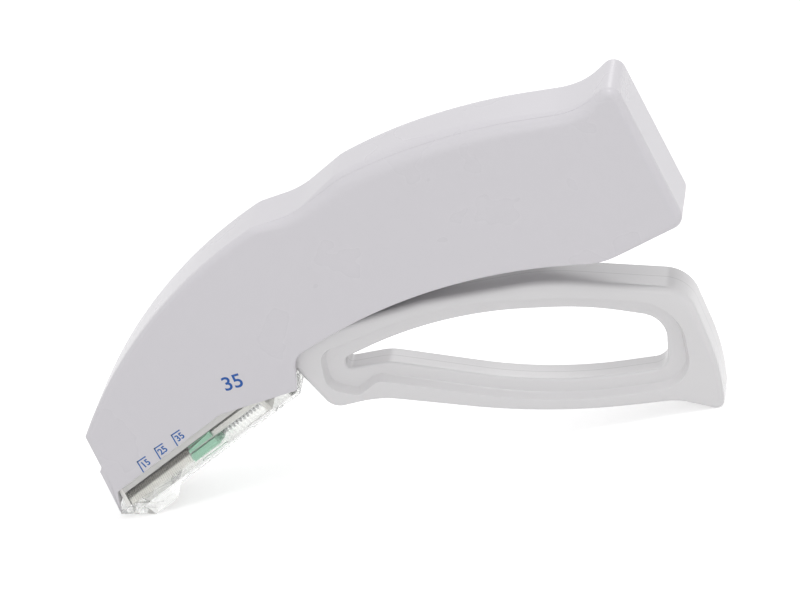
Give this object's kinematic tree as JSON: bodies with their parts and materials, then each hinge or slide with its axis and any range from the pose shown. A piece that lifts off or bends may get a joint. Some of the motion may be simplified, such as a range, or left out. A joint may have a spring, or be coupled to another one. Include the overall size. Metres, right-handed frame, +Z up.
{
  "type": "skin stapler",
  "caption": "Disposable skin stapler: a curved grip shell with a clear slanted staple magazine at the nose and a looped trigger lever below.",
  "frame": {"origin": "middle of the bounding box in plan, at its base: the stapler stands on the heel of its foot and on the tail of its lever", "axes": "+X from the nose towards the rear of the grip, +Y across the width towards the right housing, +Z up"},
  "size_m": [0.1648, 0.018, 0.0954],
  "materials": {
    "white_plastic": "satin moulded",
    "lever_plastic": "satin moulded",
    "grey_plastic": "satin moulded",
    "green_plastic": "moulded",
    "clear_plastic": "clear moulded",
    "staple_steel": "bright drawn wire",
    "plate_steel": "stamped",
    "pin_steel": "ground",
    "spring_steel": "drawn wire and strip"
  },
  "bodies": {
    "housing": {"left_cover": "white_plastic", "right_housing": "white_plastic", "magazine_body": "clear_plastic", "staple_stack": "staple_steel", "loaded_staple": "staple_steel", "cover_strip": "plate_steel", "anvil": "plate_steel", "driver_guide": "plate_steel", "staple_track": "plate_steel", "pivot_pin": "pin_steel", "return_spring": "spring_steel", "feed_spring": "spring_steel", "spring_rod": "pin_steel", "magazine_end_cap": "clear_plastic", "ejector_spring": "spring_steel", "click_spring": "spring_steel"},
    "trigger": {"trigger_lever": "lever_plastic", "drive_pin": "pin_steel"},
    "driver": {"driver_carrier": "grey_plastic", "driver_blade": "plate_steel"},
    "feed": {"follower": "green_plastic"}
  },
  "joints": [
    {"name": "trigger_hinge", "type": "hinge", "parent": "housing", "child": "trigger", "pos_m": [-0.03208, 0, 0.04074], "axis": [0, -1, 0], "range_deg": [0, 10], "stiffness_Nm_per_rad": 2, "springref_deg": -14.32, "deforming": ["return_spring"]},
    {"name": "driver_slide", "type": "slide", "parent": "housing", "child": "driver", "axis": [0.1433, 0, -0.9897], "range_m": [0, 0.0078], "deforming": ["loaded_staple"]},
    {"name": "feed_slide", "type": "slide", "parent": "housing", "child": "feed", "axis": [-0.8907, 0, -0.4546], "range_m": [0, 0.0207], "deforming": ["staple_stack", "feed_spring"]}
  ],
  "couplings": [
    {"joint": "driver_slide", "follows": "trigger_hinge", "m_per_rad": 0.04468}
  ]
}
